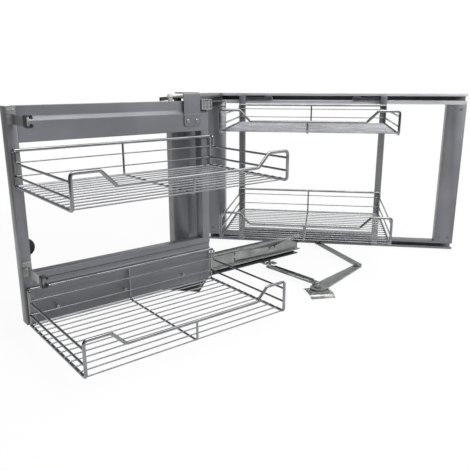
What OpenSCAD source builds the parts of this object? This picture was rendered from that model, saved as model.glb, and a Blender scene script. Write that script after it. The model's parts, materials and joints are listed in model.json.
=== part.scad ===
// Blind corner pull out. A fixed rear frame carries two wire baskets on a sliding carriage, and a
// front unit with two more baskets slides on a base rail that swings on a post at the cabinet door.
// The origin is on the floor at the swing axis. X runs along the rear frame, Y goes into the cabinet.

/* [Rear frame] */
// Width of the rear frame
frame_w = 860; // [850:1:960]
// Height of the rear frame
frame_h = 524; // [520:1:560]
// Depth of the rails
frame_d = 30; // [26:1:40]
// Swing axis to the front of the rear frame
frame_back = 489; // [488:1:540]
// Swing axis to the left end of the rear frame
frame_left = 24; // [10:1:40]
// Width of each post
post_w = 62; // [50:1:70]
// Thickness of the folded sheet
sheet = 2.5; // [1.5:0.1:2.8]
// Height of the top rail
top_rail_h = 34; // [30:1:40]
// Height of the bottom rail
bottom_rail_h = 28; // [24:1:32]
// Height of the lips along the rails
rail_lip = 8; // [5:0.5:8.5]
// Height of the wide lip under the top rail's track
wide_lip = 12; // [9:0.5:12.5]
// Radius of the wall screw holes
wall_hole_r = 3; // [2:0.1:4]
// Height between the wall screw holes
wall_hole_gap = 300; // [200:1:340]
// Depth between the wall screw holes
wall_hole_step = 14; // [10:0.5:15]

/* [Carriage] */
// Swing axis to the left side of the carriage
carriage_x = 93; // [90:1:110]
// Width of the carriage
carriage_w = 488; // [470:1:500]
// Thickness of the carriage posts
bar = 20; // [16:1:24]
// Gap between the carriage posts and the rear frame
carriage_gap = 6; // [5:0.5:9]
// Thickness of the runner plates
runner_t = 3; // [2:0.5:4]
// Roller axle in from the side of the carriage
runner_in = 95; // [80:1:110]
// Height of the crossbar above the floor
crossbar_z = 30; // [28:1:40]
// Depth of the rear baskets
rear_basket_d = 380; // [340:1:390]
// Height of the lower rear basket
rear_low_h = 82; // [60:1:90]
// Height of the upper rear basket
rear_up_h = 67; // [56:1:80]
// Gap between the front baskets and the rear baskets that pass above them
pass_gap = 4; // [3:0.5:8]

/* [Column] */
// Left side of the column from the swing axis
column_left = 36; // [28:1:38]
// Right side of the column from the swing axis
column_right = 46; // [40:1:47]
// Depth of the column
column_d = 40; // [32:1:44]
// Left edge of the column's front face from the swing axis
face_left = 14; // [8:1:20]
// Right edge of the column's front face from the swing axis
face_right = 26; // [20:1:30]
// Bottom of the column
column_z = 105; // [102:1:120]
// Radius of the pivot post
pivot_r = 15; // [10:0.5:16]
// Wall of the nylon bush
bush_t = 3; // [2:0.5:4]
// Radius of the top pin
top_pin_r = 10; // [6:0.5:12]
// Length of the foot plate
foot_l = 120; // [100:1:140]
// Depth of the foot plate
foot_w = 90; // [80:1:96]
// Thickness of the floor plates
foot_t = 4; // [3:0.5:6]
// Foot screws along the plate
foot_hole_x = 96; // [80:1:110]
// Foot screws across the plate
foot_hole_y = 66; // [56:1:76]
// Radius of the foot screw holes
foot_hole_r = 2.75; // [2:0.05:4]

/* [Side arm] */
// Left edge of the arm from the swing axis
arm_left = 40; // [30:1:44]
// Right edge of the arm from the swing axis
arm_right = 30; // [24:1:32]
// Front edge of the arm from the swing axis
arm_front = 32; // [26:1:34]
// Height of the arm's side flanges
arm_h = 10; // [6:0.5:10]

/* [Front unit] */
// Angle of the front unit to the rear frame
swing_angle = 47.5; // [40:0.5:52]
// Length of the front frame
front_l = 506; // [490:1:520]
// Bottom of the front frame
front_z = 36; // [35:0.5:38]
// Top of the front frame below the top of the rear frame
top_step = 8; // [7:0.5:9]
// Swing axis to the right end of the front frame
front_end = 42; // [36:1:44]
// Swing axis to the front face of the front frame
front_off = 75; // [74:0.5:80]
// Thickness of the front frame
front_t = 25; // [22:0.5:25]
// Width of the front posts
front_post_w = 23; // [18:1:28]
// Height of the top beam's roller channel
band_h = 22; // [20:0.5:24]
// Height of the sloped ledge
ledge_h = 9; // [6:0.5:12]
// Height of the top beam's lower band
lower_band_h = 44; // [36:1:52]
// Step of the ledge
ledge_step = 6; // [4:0.5:6]
// Height of the bottom beam
bottom_beam_h = 119; // [112:1:126]
// Depth of the front baskets
front_basket_d = 300; // [270:1:304]
// Length of the front baskets
front_basket_l = 506; // [480:1:510]
// Front baskets past the right end of the front frame
basket_over = 4; // [0:0.5:5]
// Floor of the lower front basket below the front frame
low_drop = 4; // [0:0.5:5]
// Height of the lower front basket
front_low_h = 82; // [60:1:84]
// Floor of the upper front basket below the top beam
up_drop = 93; // [90:1:110]
// Height of the upper front basket
front_up_h = 72; // [56:1:74]
// Back rail of the front baskets above their front corners
back_rise = 11; // [0:0.5:14]

/* [Basket wire] */
// Diameter of the frame wire
wire = 7; // [5:0.5:7]
// Diameter of the side wire
side_wire = 5; // [4:0.5:5.5]
// Diameter of the floor wire
thin_wire = 3; // [2:0.5:3.5]
// Spacing of the floor wires
wire_pitch = 24; // [18:1:36]
// Length of the raised front corners
horn_l = 58; // [40:1:80]
// Length of the slope down to the front rail
slope_l = 30; // [20:1:40]
// Drop of the front rail below the back rail
front_drop = 30; // [20:1:34]

/* [Slide] */
// Length of the slide's travel
travel = 400; // [360:5:400]
// Bottom of the base rail
rail_z = 28; // [27.5:0.5:29]
// Swing axis to the back of the base rail
rail_off = 27; // [25:0.5:27.5]
// Thickness of the base rail
rail_t = 3; // [2:0.5:3.5]
// Height of the base rail
rail_h = 60; // [58:1:66]
// Far end of the base rail from the swing axis
rail_far = 412; // [400:1:420]
// Near end of the base rail from the swing axis
rail_near = 60; // [50:1:70]
// Far end of the slide past the base rail
slide_over = 14; // [8:1:18]
// Height of the slide
slide_h = 48; // [46:1:50]
// Depth of the outer slide member
slide_d = 14; // [13:0.5:15]
// Thickness of the slide members
slide_t = 2; // [1.5:0.1:2.2]
// Gap for the balls between two members
ball_gap = 4; // [3:0.1:4.5]

/* [Guide arm] */
// Length of the guide arm past the swing axis
guide_far = 122; // [100:1:130]
// Length of the guide arm towards the door
guide_near = 58; // [54:1:64]
// Height of the guide arm
guide_h = 16; // [14:0.5:17]
// Radius of the roller studs
stud_r = 3; // [2:0.5:4]
// Front roller from the swing axis
guide_front_x = 28; // [26:0.5:30]
// Rear roller from the swing axis
guide_rear_x = 25; // [20:1:28]

/* [Linkage] */
// Crank bolt from the swing axis, along the frame
crank_x = 384; // [370:1:400]
// Crank bolt from the swing axis, into the cabinet
crank_y = 12; // [0:1:20]
// Length of the crank
crank_l = 239.5; // [230:0.5:245]
// Angle of the crank
crank_turn = 60.3; // [58:0.1:62]
// Length of the crank's short end
short_l = 26; // [26:1:32]
// Angle of the short end
short_turn = 100; // [96:0.5:112]
// Length of the carriage link
link_l = 258.3; // [250:0.1:262]
// Angle of the carriage link
link_turn = 119.6; // [117:0.1:122]
// Length of the pickup link
pickup_l = 188.6; // [186:0.2:191]
// Angle of the pickup link
pickup_turn = 140; // [139:0.1:141]
// Thickness of the links
link_t = 4; // [3:0.5:4]
// Radius of the crank bolt
crank_pin_r = 6; // [5:0.5:7]
// Radius of the rivets
rivet_r = 5; // [4:0.5:6]

/* [Fits] */
// Radial clearance of a turning pin
pin_gap = 0.05; // [0.02:0.01:0.1]
// Clearance between parts that move past each other
run_gap = 0.3; // [0.2:0.05:0.5]

/* [Hidden] */
$fn = 48;
eps = 0.01;

// Colours
paint = [0.47, 0.48, 0.51];
dark = [0.2, 0.2, 0.22];
light = [0.72, 0.72, 0.73];
zinc = [0.62, 0.61, 0.57];
chrome = [0.8, 0.8, 0.82];
nylon = [0.9, 0.9, 0.88];
black = [0.08, 0.08, 0.09];

// Rear frame places
frame_x0 = -frame_left;
frame_x1 = frame_w - frame_left;
top_rail_z = frame_h - top_rail_h;
post_holes_y = frame_back + sheet + (frame_d - sheet) / 2;
post_holes_z = (bottom_rail_h + top_rail_z) / 2;

// Rollers fill the rails less the running gap
top_roller_r = (top_rail_h - 2 * sheet) / 2 - run_gap;
bottom_roller_r = (bottom_rail_h - 2 * sheet) / 2 - run_gap;
top_roller_z = top_rail_z + top_rail_h / 2;
bottom_roller_z = bottom_rail_h / 2;
roller_w = 12;
axle_r = 4;
axle_head_r = 7;
axle_head_t = 2;

// Carriage places
carriage_y1 = frame_back - carriage_gap;
carriage_y0 = carriage_y1 - bar;
carriage_x1 = carriage_x + carriage_w;
carriage_post_z = 8;
carriage_post_h = frame_h - 2 * carriage_post_z;
runner_l = runner_in + 14;
runner_h = 10;
crossbar_h = 20;

// Side arm and column places
arm_z = frame_h - arm_h;
arm_plate_z = frame_h - 3;
lug_t = 6;
front_top = frame_h - top_step;
guide_z = front_top - band_h / 2 - guide_h / 2;
column_top = guide_z - run_gap;

// Front unit places, in the frame that turns with the swing
front_x0 = front_end - front_l;
front_back = front_off - front_t;
band_z = front_top - band_h;
ledge_z = band_z - ledge_h;
lower_band_z = ledge_z - lower_band_h;
band_off = front_off - ledge_step / 2;
face_off = band_off + ledge_step;
bottom_beam_top = front_z + bottom_beam_h;
beam_x = front_x0 + front_post_w;
beam_l = front_l - front_post_w;

// Basket places: the front baskets pass under the rear ones
basket_off = face_off + run_gap;
front_basket_x = front_end + basket_over - front_basket_l;
front_low_z = front_z - low_drop;
front_up_z = lower_band_z - up_drop;
rear_low_z = front_low_z + front_low_h + 1.5 * pass_gap;
rear_up_z = front_up_z + front_up_h + pass_gap;

// Slide places
slide_back = rail_off + rail_t;
slide_z = rail_z + 10;
slide_top = slide_z + slide_h;
middle_z = slide_z + slide_t + ball_gap;
middle_top = slide_top - slide_t - ball_gap;
inner_z = middle_z + slide_t + ball_gap;
inner_top = middle_top - slide_t - ball_gap;
middle_back = slide_back + slide_t + 2;
inner_back = middle_back + slide_t + 2;
middle_front = slide_back + slide_d + 2;
inner_front = middle_front + 2;
member_l = travel;
member_x = -rail_near + 20;

// Linkage places and layers
plate_top = 8;
crank_z = plate_top + 1;
over_z = crank_z + link_t + run_gap;
rivet_top = over_z + link_t + run_gap;
catch_t = 4;
catch_z = rail_z - catch_t;
pin_top = catch_z - 0.5;
crank_p = [crank_x, crank_y];
elbow_p = crank_p + crank_l * [cos(crank_turn), sin(crank_turn)];
short_p = crank_p + short_l * [cos(short_turn), sin(short_turn)];
carriage_p = elbow_p + link_l * [cos(link_turn), sin(link_turn)];
pickup_p = short_p + pickup_l * [cos(pickup_turn), sin(pickup_turn)];
// The pickup point seen from the swing frame
catch_x = pickup_p[0] * cos(swing_angle) + pickup_p[1] * sin(swing_angle);
catch_y = -pickup_p[0] * sin(swing_angle) + pickup_p[1] * cos(swing_angle);
pickup_pin_r = 4;

// Extrudes an outline in Y and Z along X
module along_x(x, l) {
    translate([x, 0, 0]) rotate([90, 0, 90]) linear_extrude(l) children();
}

// Parts of the swing unit and the front unit are drawn with the front frame along X
module swing_frame() {
    rotate([0, 0, swing_angle]) children();
}

module block(p, s) {
    translate(p) cube(s);
}

module rod_x(x0, x1, y, z, d) {
    translate([x0, y, z]) rotate([0, 90, 0]) cylinder(h = x1 - x0, d = d);
}

module rod_y(x, y0, y1, z, d) {
    translate([x, y0, z]) rotate([-90, 0, 0]) cylinder(h = y1 - y0, d = d);
}

module rod_z(x, y, z0, z1, d) {
    translate([x, y, z0]) cylinder(h = z1 - z0, d = d);
}

// Rod between two points of the XZ plane at a given Y
module rod_xz(p, q, y, d) {
    l = norm(q - p);
    a = atan2(q[0] - p[0], q[1] - p[1]);
    translate([p[0], y, p[1]]) rotate([0, a, 0]) cylinder(h = l, d = d);
}

// C channel outline that opens to -Y, with a lower and an upper lip up to the opening
module channel_2d(d, h, low_lip, high_lip) {
    difference() {
        square([d, h]);
        translate([sheet, sheet]) square([d - 2 * sheet, h - 2 * sheet]);
        translate([-1, low_lip]) square([sheet + 2, h - low_lip - high_lip]);
    }
}

// Wire basket floor: back at y = 0, front at y = -d, length along x
module basket_floor(l, d) {
    c = wire / 2;
    n = floor((d - 2 * wire) / wire_pitch);
    step = (d - wire) / (n + 1);
    color(chrome) union() {
        for (y = [-c, c - d]) rod_x(0, l, y, c, wire);
        for (x = [c, l - c]) rod_y(x, c - d, -c, c, side_wire);
        rod_y(l / 2, c - d, -c, c, wire - 0.4);
        for (i = [1 : n]) rod_x(c, l - c, -c - i * step, c, thin_wire);
    }
}

// The basket's walls: back, two sides and the dipped front, each a flat welded panel.
// The back stands higher than the front corners by rise.
module basket_rails(l, d, h, rise) {
    c = wire / 2;
    z0 = wire + run_gap;
    zt = h - c;
    zb = zt + rise;
    zf = zt - front_drop;
    inset = wire / 2 + side_wire / 2 + run_gap;
    mid_z = [h * 0.345, h * 0.74];
    back_y = -c;
    front_y = c - d;
    color(chrome) {
        union() {
            rod_x(inset, l - inset, back_y, zb, wire);
            for (z = mid_z) rod_x(inset, l - inset, back_y, z, thin_wire);
            rod_z(l / 2, back_y, z0, zb, side_wire);
        }
        for (x = [c, l - c]) union() {
            rod_z(x, back_y, z0, h + rise, side_wire);
            rod_z(x, front_y, z0, h, side_wire);
            for (z = mid_z) rod_y(x, front_y, back_y, z, side_wire - 0.4);
        }
        union() {
            a = [inset, zt];
            b = [horn_l, zt];
            e = [horn_l + slope_l, zf];
            rod_xz(a, b, front_y, wire);
            rod_xz(b, e, front_y, wire - 0.2);
            rod_x(e[0], l - e[0], front_y, zf, wire);
            rod_xz([l - e[0], zf], [l - b[0], zt], front_y, wire - 0.2);
            rod_xz([l - b[0], zt], [l - a[0], zt], front_y, wire);
            for (x = [b[0], l - b[0]]) translate([x, front_y, zt]) sphere(d = wire + 0.4);
            for (x = [e[0], l - e[0]]) translate([x, front_y, zf]) sphere(d = wire + 0.4);
            rod_z(l / 2, front_y, z0, zf, side_wire);
        }
    }
}

// Rear frame

module rear_top_rail() {
    color(light) along_x(frame_x0, frame_w)
        translate([frame_back, top_rail_z]) channel_2d(frame_d, top_rail_h, wide_lip, rail_lip);
}

module rear_bottom_rail() {
    color(paint) along_x(frame_x0, frame_w)
        translate([frame_back, 0]) channel_2d(frame_d, bottom_rail_h, rail_lip, rail_lip);
}

// Folded post at x that opens to the back, with wall screw holes in the flange at side
module rear_post(x, side) {
    h = top_rail_z - bottom_rail_h;
    color(paint) difference() {
        block([x, frame_back, bottom_rail_h], [post_w, frame_d, h]);
        block([x + sheet, frame_back + sheet, bottom_rail_h - 1], [post_w - 2 * sheet, frame_d, h + 2]);
        for (y = [-0.5, 0.5], z = [-0.5, 0.5])
            translate([side - sheet - 1, post_holes_y + y * wall_hole_step, post_holes_z + z * wall_hole_gap])
                rotate([0, 90, 0]) cylinder(h = 2 * sheet + 2, r = wall_hole_r);
    }
}

module rear_left_post() { rear_post(frame_x0, frame_x0); }

module rear_right_post() { rear_post(frame_x1 - post_w, frame_x1); }

// Pan heads on the posts, near both rails
module frame_screws() {
    head_r = 5;
    head_t = 2;
    color(paint) for (x = [frame_x0, frame_x1 - post_w], u = [0.25, 0.75],
                      z = [bottom_rail_h + 14, top_rail_z - 14])
        translate([x + u * post_w, frame_back, z]) rotate([90, 0, 0]) cylinder(h = head_t, r = head_r);
}

// Column and side arm

module side_arm() {
    w = arm_left + arm_right;
    y0 = -arm_front;
    color(dark) difference() {
        union() {
            block([-arm_left, y0, arm_plate_z], [w, frame_back - y0, frame_h - arm_plate_z]);
            for (x = [-arm_left, arm_right - sheet])
                block([x, y0, arm_z], [sheet, frame_back - y0, arm_h]);
            block([-arm_left, frame_back - sheet, top_rail_z], [w, sheet, top_rail_h]);
        }
        translate([0, 0, arm_plate_z - 1]) cylinder(h = frame_h, r = top_pin_r / 2);
    }
}

// Folded column outline with a flat face and two slanted sides, grown outwards by g
module column_2d(g) {
    l = column_left + g;
    r = column_right + g;
    d = column_d / 2 + g;
    edge = 10;
    polygon([[-l, d], [-l, d - edge], [-face_left - g / 2, -d], [face_right + g / 2, -d],
             [r, d - edge], [r, d]]);
}

module front_column() {
    cap = 4;
    color(paint) difference() {
        translate([0, 0, column_z]) linear_extrude(column_top - column_z) column_2d(0);
        translate([0, 0, column_z + cap]) linear_extrude(column_top - column_z - 2 * cap) column_2d(-sheet);
    }
}

module pivot_post() {
    color(zinc) union() {
        translate([0, 0, foot_t]) cylinder(h = column_z - foot_t, r = pivot_r);
        translate([0, 0, foot_t]) cylinder(h = 5, r = pivot_r + 8);
    }
}

module column_foot_plate() {
    color(dark) difference() {
        block([-foot_l / 2, -foot_w / 2, 0], [foot_l, foot_w, foot_t]);
        for (x = [-0.5, 0.5], y = [-0.5, 0.5])
            translate([x * foot_hole_x, y * foot_hole_y, -1]) cylinder(h = foot_t + 2, r = foot_hole_r);
    }
}

module top_pin() {
    color(zinc) union() {
        translate([0, 0, column_top]) cylinder(h = arm_plate_z - column_top, r = top_pin_r);
        translate([0, 0, arm_plate_z]) cylinder(h = frame_h - arm_plate_z, r = top_pin_r / 2 - pin_gap);
    }
}

// Floor plate of the crank with flared lips down to the floor at the front and the back
module linkage_foot_plate() {
    l = 68;
    flat = 26;
    reach = 38;
    t = 2.5;
    lean = 20;
    foot_x = 3;
    foot_y = -16;
    hole = [24, 18];
    color(zinc) translate([crank_x + foot_x, crank_y + foot_y, 0]) rotate([0, 0, lean]) difference() {
        along_x(-l / 2, l) polygon([
            [-reach, 0], [-flat, plate_top], [flat, plate_top], [reach, 0],
            [reach - t, 0], [flat - 1, plate_top - t], [1 - flat, plate_top - t], [t - reach, 0]]);
        for (x = [-1, 1], y = [-1, 1])
            translate([x * hole[0], y * hole[1], -1]) cylinder(h = plate_top + 2, r = foot_hole_r);
    }
}

module crank_pin() {
    head_z = crank_z + link_t + run_gap;
    color(zinc) translate([crank_x, crank_y, 0]) union() {
        translate([0, 0, plate_top]) cylinder(h = head_z - plate_top + 1, r = crank_pin_r);
        translate([0, 0, head_z]) cylinder(h = 5, r = crank_pin_r + 4, $fn = 6);
    }
}

// Swing unit

module base_rail() {
    l = rail_far + rail_near;
    lug_r = pivot_r + bush_t + 6;
    foot = 22;
    color(dark) swing_frame() difference() {
        union() {
            block([-rail_near, -slide_back, rail_z], [l, rail_t, rail_h]);
            block([-rail_near, -rail_off - foot, rail_z], [l, foot, rail_t]);
            block([-lug_r, -slide_back, rail_z], [2 * lug_r, slide_back, lug_t]);
            translate([0, 0, rail_z]) cylinder(h = lug_t, r = lug_r);
        }
        translate([0, 0, rail_z - 1]) cylinder(h = lug_t + 2, r = pivot_r + bush_t + eps);
    }
}

module hinge_bush() {
    color(nylon) difference() {
        union() {
            translate([0, 0, rail_z]) cylinder(h = lug_t, r = pivot_r + bush_t);
            translate([0, 0, rail_z + lug_t]) cylinder(h = 2, r = pivot_r + bush_t + 3);
        }
        translate([0, 0, rail_z - 1]) cylinder(h = lug_t + 4, r = pivot_r + pin_gap);
    }
}

// Slide member outline that opens to -Y: back and front are distances from the swing axis
module member_2d(back, front, z0, z1, lip) {
    union() {
        translate([-back - slide_t, z0]) square([slide_t, z1 - z0]);
        for (z = [z0, z1 - slide_t]) translate([-front, z]) square([front - back, slide_t]);
        for (z = [z0, z1 - lip]) translate([-front, z]) square([slide_t, lip]);
    }
}

module slide_outer() {
    mid_z = (slide_z + slide_top) / 2;
    hole_r = 3;
    hole_dz = 9;
    // Screw holes as [share of the length past the axis, height from the middle]
    holes = [[0.4, hole_dz], [0.4, -hole_dz], [0.74, 0], [0.79, 0]];
    lip = slide_t + 2.5;
    color(zinc) swing_frame() difference() {
        along_x(-rail_near, rail_far + slide_over + rail_near)
            member_2d(slide_back, slide_back + slide_d, slide_z, slide_top, lip);
        for (p = holes)
            translate([p[0] * rail_far, -slide_back + 1, mid_z + p[1]])
                rotate([90, 0, 0]) cylinder(h = slide_t + 2, r = hole_r);
    }
}

module slide_middle() {
    color(zinc) swing_frame() along_x(member_x - travel / 2, member_l)
        member_2d(middle_back, middle_front, middle_z, middle_top, slide_t);
}

module slide_inner() {
    color(zinc) swing_frame() along_x(member_x - travel, member_l)
        member_2d(inner_back, inner_front, inner_z, inner_top, slide_t);
}

// One retainer strip with its balls
module ball_strip(x, l, y, z) {
    ball_d = ball_gap - 2 * run_gap;
    n = 7;
    union() {
        block([x, y - 1.5, z - 0.5], [l, 3, 1]);
        for (i = [0 : n - 1]) translate([x + l * (i + 0.5) / n, y, z]) sphere(d = ball_d);
    }
}

module ball_cages() {
    outer_y = -(middle_back + 4);
    inner_y = -(inner_back + 4);
    color(zinc) swing_frame() {
        for (z = [middle_z - ball_gap / 2, middle_top + ball_gap / 2])
            ball_strip(member_x, travel / 2 - 40, outer_y, z);
        for (z = [inner_z - ball_gap / 2, inner_top + ball_gap / 2])
            ball_strip(member_x - travel / 2 + 10, travel / 2 - 40, inner_y, z);
    }
}

module top_guide_arm() {
    back = rail_off - 3;
    front = front_back - 2;
    lug_r = top_pin_r + 10;
    color(dark) swing_frame() difference() {
        union() {
            along_x(-guide_near, guide_far + guide_near) union() {
                translate([-back - sheet, guide_z]) square([sheet, guide_h]);
                for (z = [guide_z, guide_z + guide_h - sheet])
                    translate([-front, z]) square([front - back, sheet]);
            }
            block([-lug_r, -back - sheet, guide_z], [2 * lug_r, back + sheet, lug_t]);
            translate([0, 0, guide_z]) cylinder(h = lug_t, r = lug_r);
        }
        translate([0, 0, guide_z - 1]) cylinder(h = lug_t + 2, r = top_pin_r + pin_gap);
    }
}

// Guide rollers run in the channel of the front top beam
guide_roller_r = (band_h - 2 * sheet) / 2 - run_gap;
guide_roller_w = 10;
guide_roller_off = front_back + 6;
guide_roller_z = guide_z + guide_h / 2;

module guide_stud(x) {
    back = rail_off - 3 + sheet;
    tip = guide_roller_off + guide_roller_w + run_gap;
    translate([x, -back, guide_roller_z]) rotate([90, 0, 0]) union() {
        cylinder(h = tip + 1.5 - back, r = stud_r);
        cylinder(h = 4, r = stud_r + 2);
        translate([0, 0, tip - back]) cylinder(h = 1.5, r = stud_r + 2);
    }
}

module guide_studs() {
    color(zinc) swing_frame() for (x = [-guide_front_x, guide_rear_x]) guide_stud(x);
}

module guide_roller(x) {
    color(nylon) swing_frame() translate([x, -guide_roller_off, guide_roller_z]) rotate([90, 0, 0])
        difference() {
            cylinder(h = guide_roller_w, r = guide_roller_r);
            translate([0, 0, -1]) cylinder(h = guide_roller_w + 2, r = stud_r + pin_gap);
        }
}

module guide_roller_front() { guide_roller(-guide_front_x); }

module guide_roller_rear() { guide_roller(guide_rear_x); }

// Nylon head on top of the guide arm, towards the door
module guide_knob() {
    r = 8;
    h = 20;
    cap = 6;
    tip = 2;
    x = r + cap - guide_near;
    color(nylon) swing_frame() translate([x, -rail_off - r, guide_z + guide_h]) union() {
        cylinder(h = h, r = r - tip);
        translate([0, 0, h - cap - tip]) cylinder(h = cap, r = r);
    }
}

// Hook under the base rail that takes the pin of the pickup link, open where the pin leaves it
module catch_bracket() {
    w = 36;
    tip = 13;
    slot = pickup_pin_r + run_gap;
    color(zinc) swing_frame() difference() {
        block([catch_x - w / 2, catch_y - tip, catch_z], [w, -rail_off - 1 - catch_y + tip, catch_t]);
        translate([catch_x, catch_y, catch_z - 1]) cylinder(h = catch_t + 2, r = slot);
        block([catch_x - w / 2 - 1, catch_y - tip - 1, catch_z - 1],
              [w / 2 + 1 + slot, tip + 1, catch_t + 2]);
    }
}

module catch_screws() {
    color(nylon) swing_frame() for (p = [[-12, 8], [0, 12], [12, 8]])
        translate([catch_x + p[0], catch_y + p[1], rail_z]) cylinder(h = 2, r = 3);
}

module rail_end_knob() {
    r = 6;
    y = slide_back + slide_t;
    color(black) swing_frame() translate([rail_far + slide_over - r - 2, -y, (slide_z + slide_top) / 2 + 6])
        rotate([90, 0, 0]) cylinder(h = slide_d, r = r);
}

// Front frame

module front_top_beam() {
    b = -front_back;
    u = -band_off;
    f = -face_off;
    color(paint) swing_frame() along_x(beam_x, beam_l) polygon([
        [b, front_top], [u, front_top], [u, band_z], [f, ledge_z], [f, lower_band_z],
        [f + front_t / 2, lower_band_z], [f + front_t / 2, lower_band_z + sheet],
        [f + sheet, lower_band_z + sheet], [f + sheet, ledge_z], [u + sheet, band_z],
        [b, band_z], [b, band_z + sheet], [u + sheet, band_z + sheet],
        [u + sheet, front_top - sheet], [b, front_top - sheet]]);
}

module front_bottom_beam() {
    b = -front_back;
    f = -face_off;
    m = -front_off;
    t = bottom_beam_top;
    // Heights of the pressed bands, from the top
    r1 = t - 14;
    r2 = t - 26;
    r3 = t - 36;
    ramp = 3;
    color(paint) swing_frame() along_x(beam_x, beam_l) polygon([
        [b, t], [f, t], [f, r1], [m, r1 - ramp], [m, r2], [f + 1, r2 - ramp], [f + 1, r3],
        [m, r3 - ramp], [m, front_z], [b, front_z], [b, front_z + sheet],
        [m + sheet, front_z + sheet], [m + sheet, r3 - ramp], [f + 1 + sheet, r3],
        [f + 1 + sheet, r2 - ramp], [m + sheet, r2], [m + sheet, r1 - ramp],
        [f + sheet, r1], [f + sheet, t - sheet], [b, t - sheet]]);
}

// Post of the front frame from z0 to z1: a channel that opens to the back
module front_post(x, z0, z1) {
    d = face_off - front_back;
    h = z1 - z0;
    color(paint) swing_frame() translate([x, -face_off, z0]) difference() {
        cube([front_post_w, d, h]);
        translate([sheet, sheet, -1]) cube([front_post_w - 2 * sheet, d, h + 2]);
    }
}

module front_left_post() { front_post(front_x0, front_z, front_top); }

module front_right_post() { front_post(front_end - front_post_w, bottom_beam_top, lower_band_z); }

// Bracket on the top beam that hooks over the guide arm
hook_x = -33;
hook_w = 49;
hook_t = 3;
hook_low = lower_band_z + 13;
hook_top = frame_h + 13;

module hook_bracket() {
    reach = 44;
    color(paint) swing_frame() union() {
        block([hook_x, -face_off - hook_t, hook_low], [hook_w, hook_t, hook_top - hook_low]);
        block([hook_x, -face_off - hook_t, hook_top - hook_t], [hook_w, reach, hook_t]);
    }
}

module hook_screws() {
    inset = 11;
    drop = 18;
    color(zinc) swing_frame() for (x = [inset, hook_w - inset])
        translate([hook_x + x, -face_off - hook_t, ledge_z - drop]) rotate([90, 0, 0])
            cylinder(h = 2.5, r = 4);
}

// Moulded end of the roller channel, in front of and past the end of the top beam
module guide_block() {
    over = 22;
    past = 10;
    h = front_top + 4 - band_z;
    front = -face_off - 4;
    color(light) swing_frame() union() {
        block([front_end - over, front, band_z], [over + eps, -band_off - front, h]);
        block([front_end, front, band_z], [past, -front_back - front, h]);
    }
}

// Blocks that carry the bottom beam on the inner slide member
module slide_spacers() {
    l = 44;
    y = front_off - sheet;
    color(dark) swing_frame() for (u = [0.12, 0.5, 0.88])
        block([member_x - travel + u * member_l - l / 2, -y, inner_z + slide_t + 1],
              [l, y - inner_back - slide_t, inner_top - inner_z - 2 * slide_t - 2]);
}

module place_front_basket(z) {
    swing_frame() translate([front_basket_x, -basket_off, z]) children();
}

module upper_front_floor() { place_front_basket(front_up_z) basket_floor(front_basket_l, front_basket_d); }

module upper_front_rails() {
    place_front_basket(front_up_z) basket_rails(front_basket_l, front_basket_d, front_up_h, back_rise);
}

module lower_front_floor() { place_front_basket(front_low_z) basket_floor(front_basket_l, front_basket_d); }

module lower_front_rails() {
    place_front_basket(front_low_z) basket_rails(front_basket_l, front_basket_d, front_low_h, back_rise);
}

// Door brackets stand on the face of the left post, one by each beam
bracket_l = 92;
bracket_h = 20;
bracket_t = 3;
bracket_x = front_x0 + 13;
bracket_z = [bottom_beam_top - 4, band_z - 15];

module door_brackets() {
    color(zinc) swing_frame() for (z = bracket_z) difference() {
        union() {
            block([front_x0 + 2, -face_off - bracket_t, z], [bracket_x - front_x0 - 2, bracket_t, bracket_h]);
            block([bracket_x, -face_off - bracket_l, z], [bracket_t, bracket_l, bracket_h]);
        }
        for (u = [0.3, 0.6])
            translate([bracket_x - 1, -face_off - u * bracket_l, z + bracket_h / 2])
                rotate([0, 90, 0]) cylinder(h = bracket_t + 2, r = 3);
    }
}

// Clip on the end of each door bracket
module door_bracket_pads() {
    w = 9;
    l = 15;
    rim = 2;
    color(black) swing_frame() for (z = bracket_z)
        block([bracket_x + bracket_t, -face_off - bracket_l, z - rim], [w, l, bracket_h + 2 * rim]);
}

module door_bumper() {
    r = 21;
    in = 1;
    rise = 53;
    color(black) swing_frame()
        translate([front_x0 + front_post_w - in, -front_back, bottom_beam_top + rise])
            rotate([-90, 0, 0]) cylinder(h = 8, r = r);
}

module damper_catch() {
    w = 92;
    h = front_z - rail_z - rail_t;
    color(black) swing_frame()
        block([front_end - w, -front_off, front_z - h], [w, front_t - 6, h]);
}

// Rear carriage

// Square tube that stands at x, with a closed top
module carriage_post(x) {
    color(paint) difference() {
        block([x, carriage_y0, carriage_post_z], [bar, bar, carriage_post_h]);
        block([x + sheet, carriage_y0 + sheet, carriage_post_z - 1],
              [bar - 2 * sheet, bar - 2 * sheet, carriage_post_h - sheet + 1]);
    }
}

module carriage_left_post() { carriage_post(carriage_x); }

module carriage_right_post() { carriage_post(carriage_x1 - bar); }

// Crossbar with the lug that the carriage link hangs under
module carriage_crossbar() {
    lug = 30;
    x = carriage_x + bar;
    l = carriage_w - 2 * bar;
    color(dark) union() {
        difference() {
            block([x, carriage_y0, crossbar_z], [l, bar, crossbar_h]);
            block([x - 1, carriage_y0 + sheet, crossbar_z + sheet],
                  [l + 2, bar - 2 * sheet, crossbar_h - 2 * sheet]);
        }
        block([carriage_p[0] - lug / 2, carriage_p[1] - lug / 2, catch_z],
              [lug, carriage_y0 + bar - carriage_p[1] + lug / 2, crossbar_z - catch_z]);
    }
}

roller_xs = [carriage_x + runner_in, carriage_x1 - runner_in];
roller_y = frame_back + frame_d / 2;

// Axle with its head, from the runner plate into the rail
module roller_axle(x, z) {
    tip = roller_y + roller_w / 2 + run_gap;
    rod_y(x, carriage_y1, tip + axle_head_t, z, 2 * axle_r);
    rod_y(x, tip, tip + axle_head_t, z, 2 * axle_head_r);
}

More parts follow.
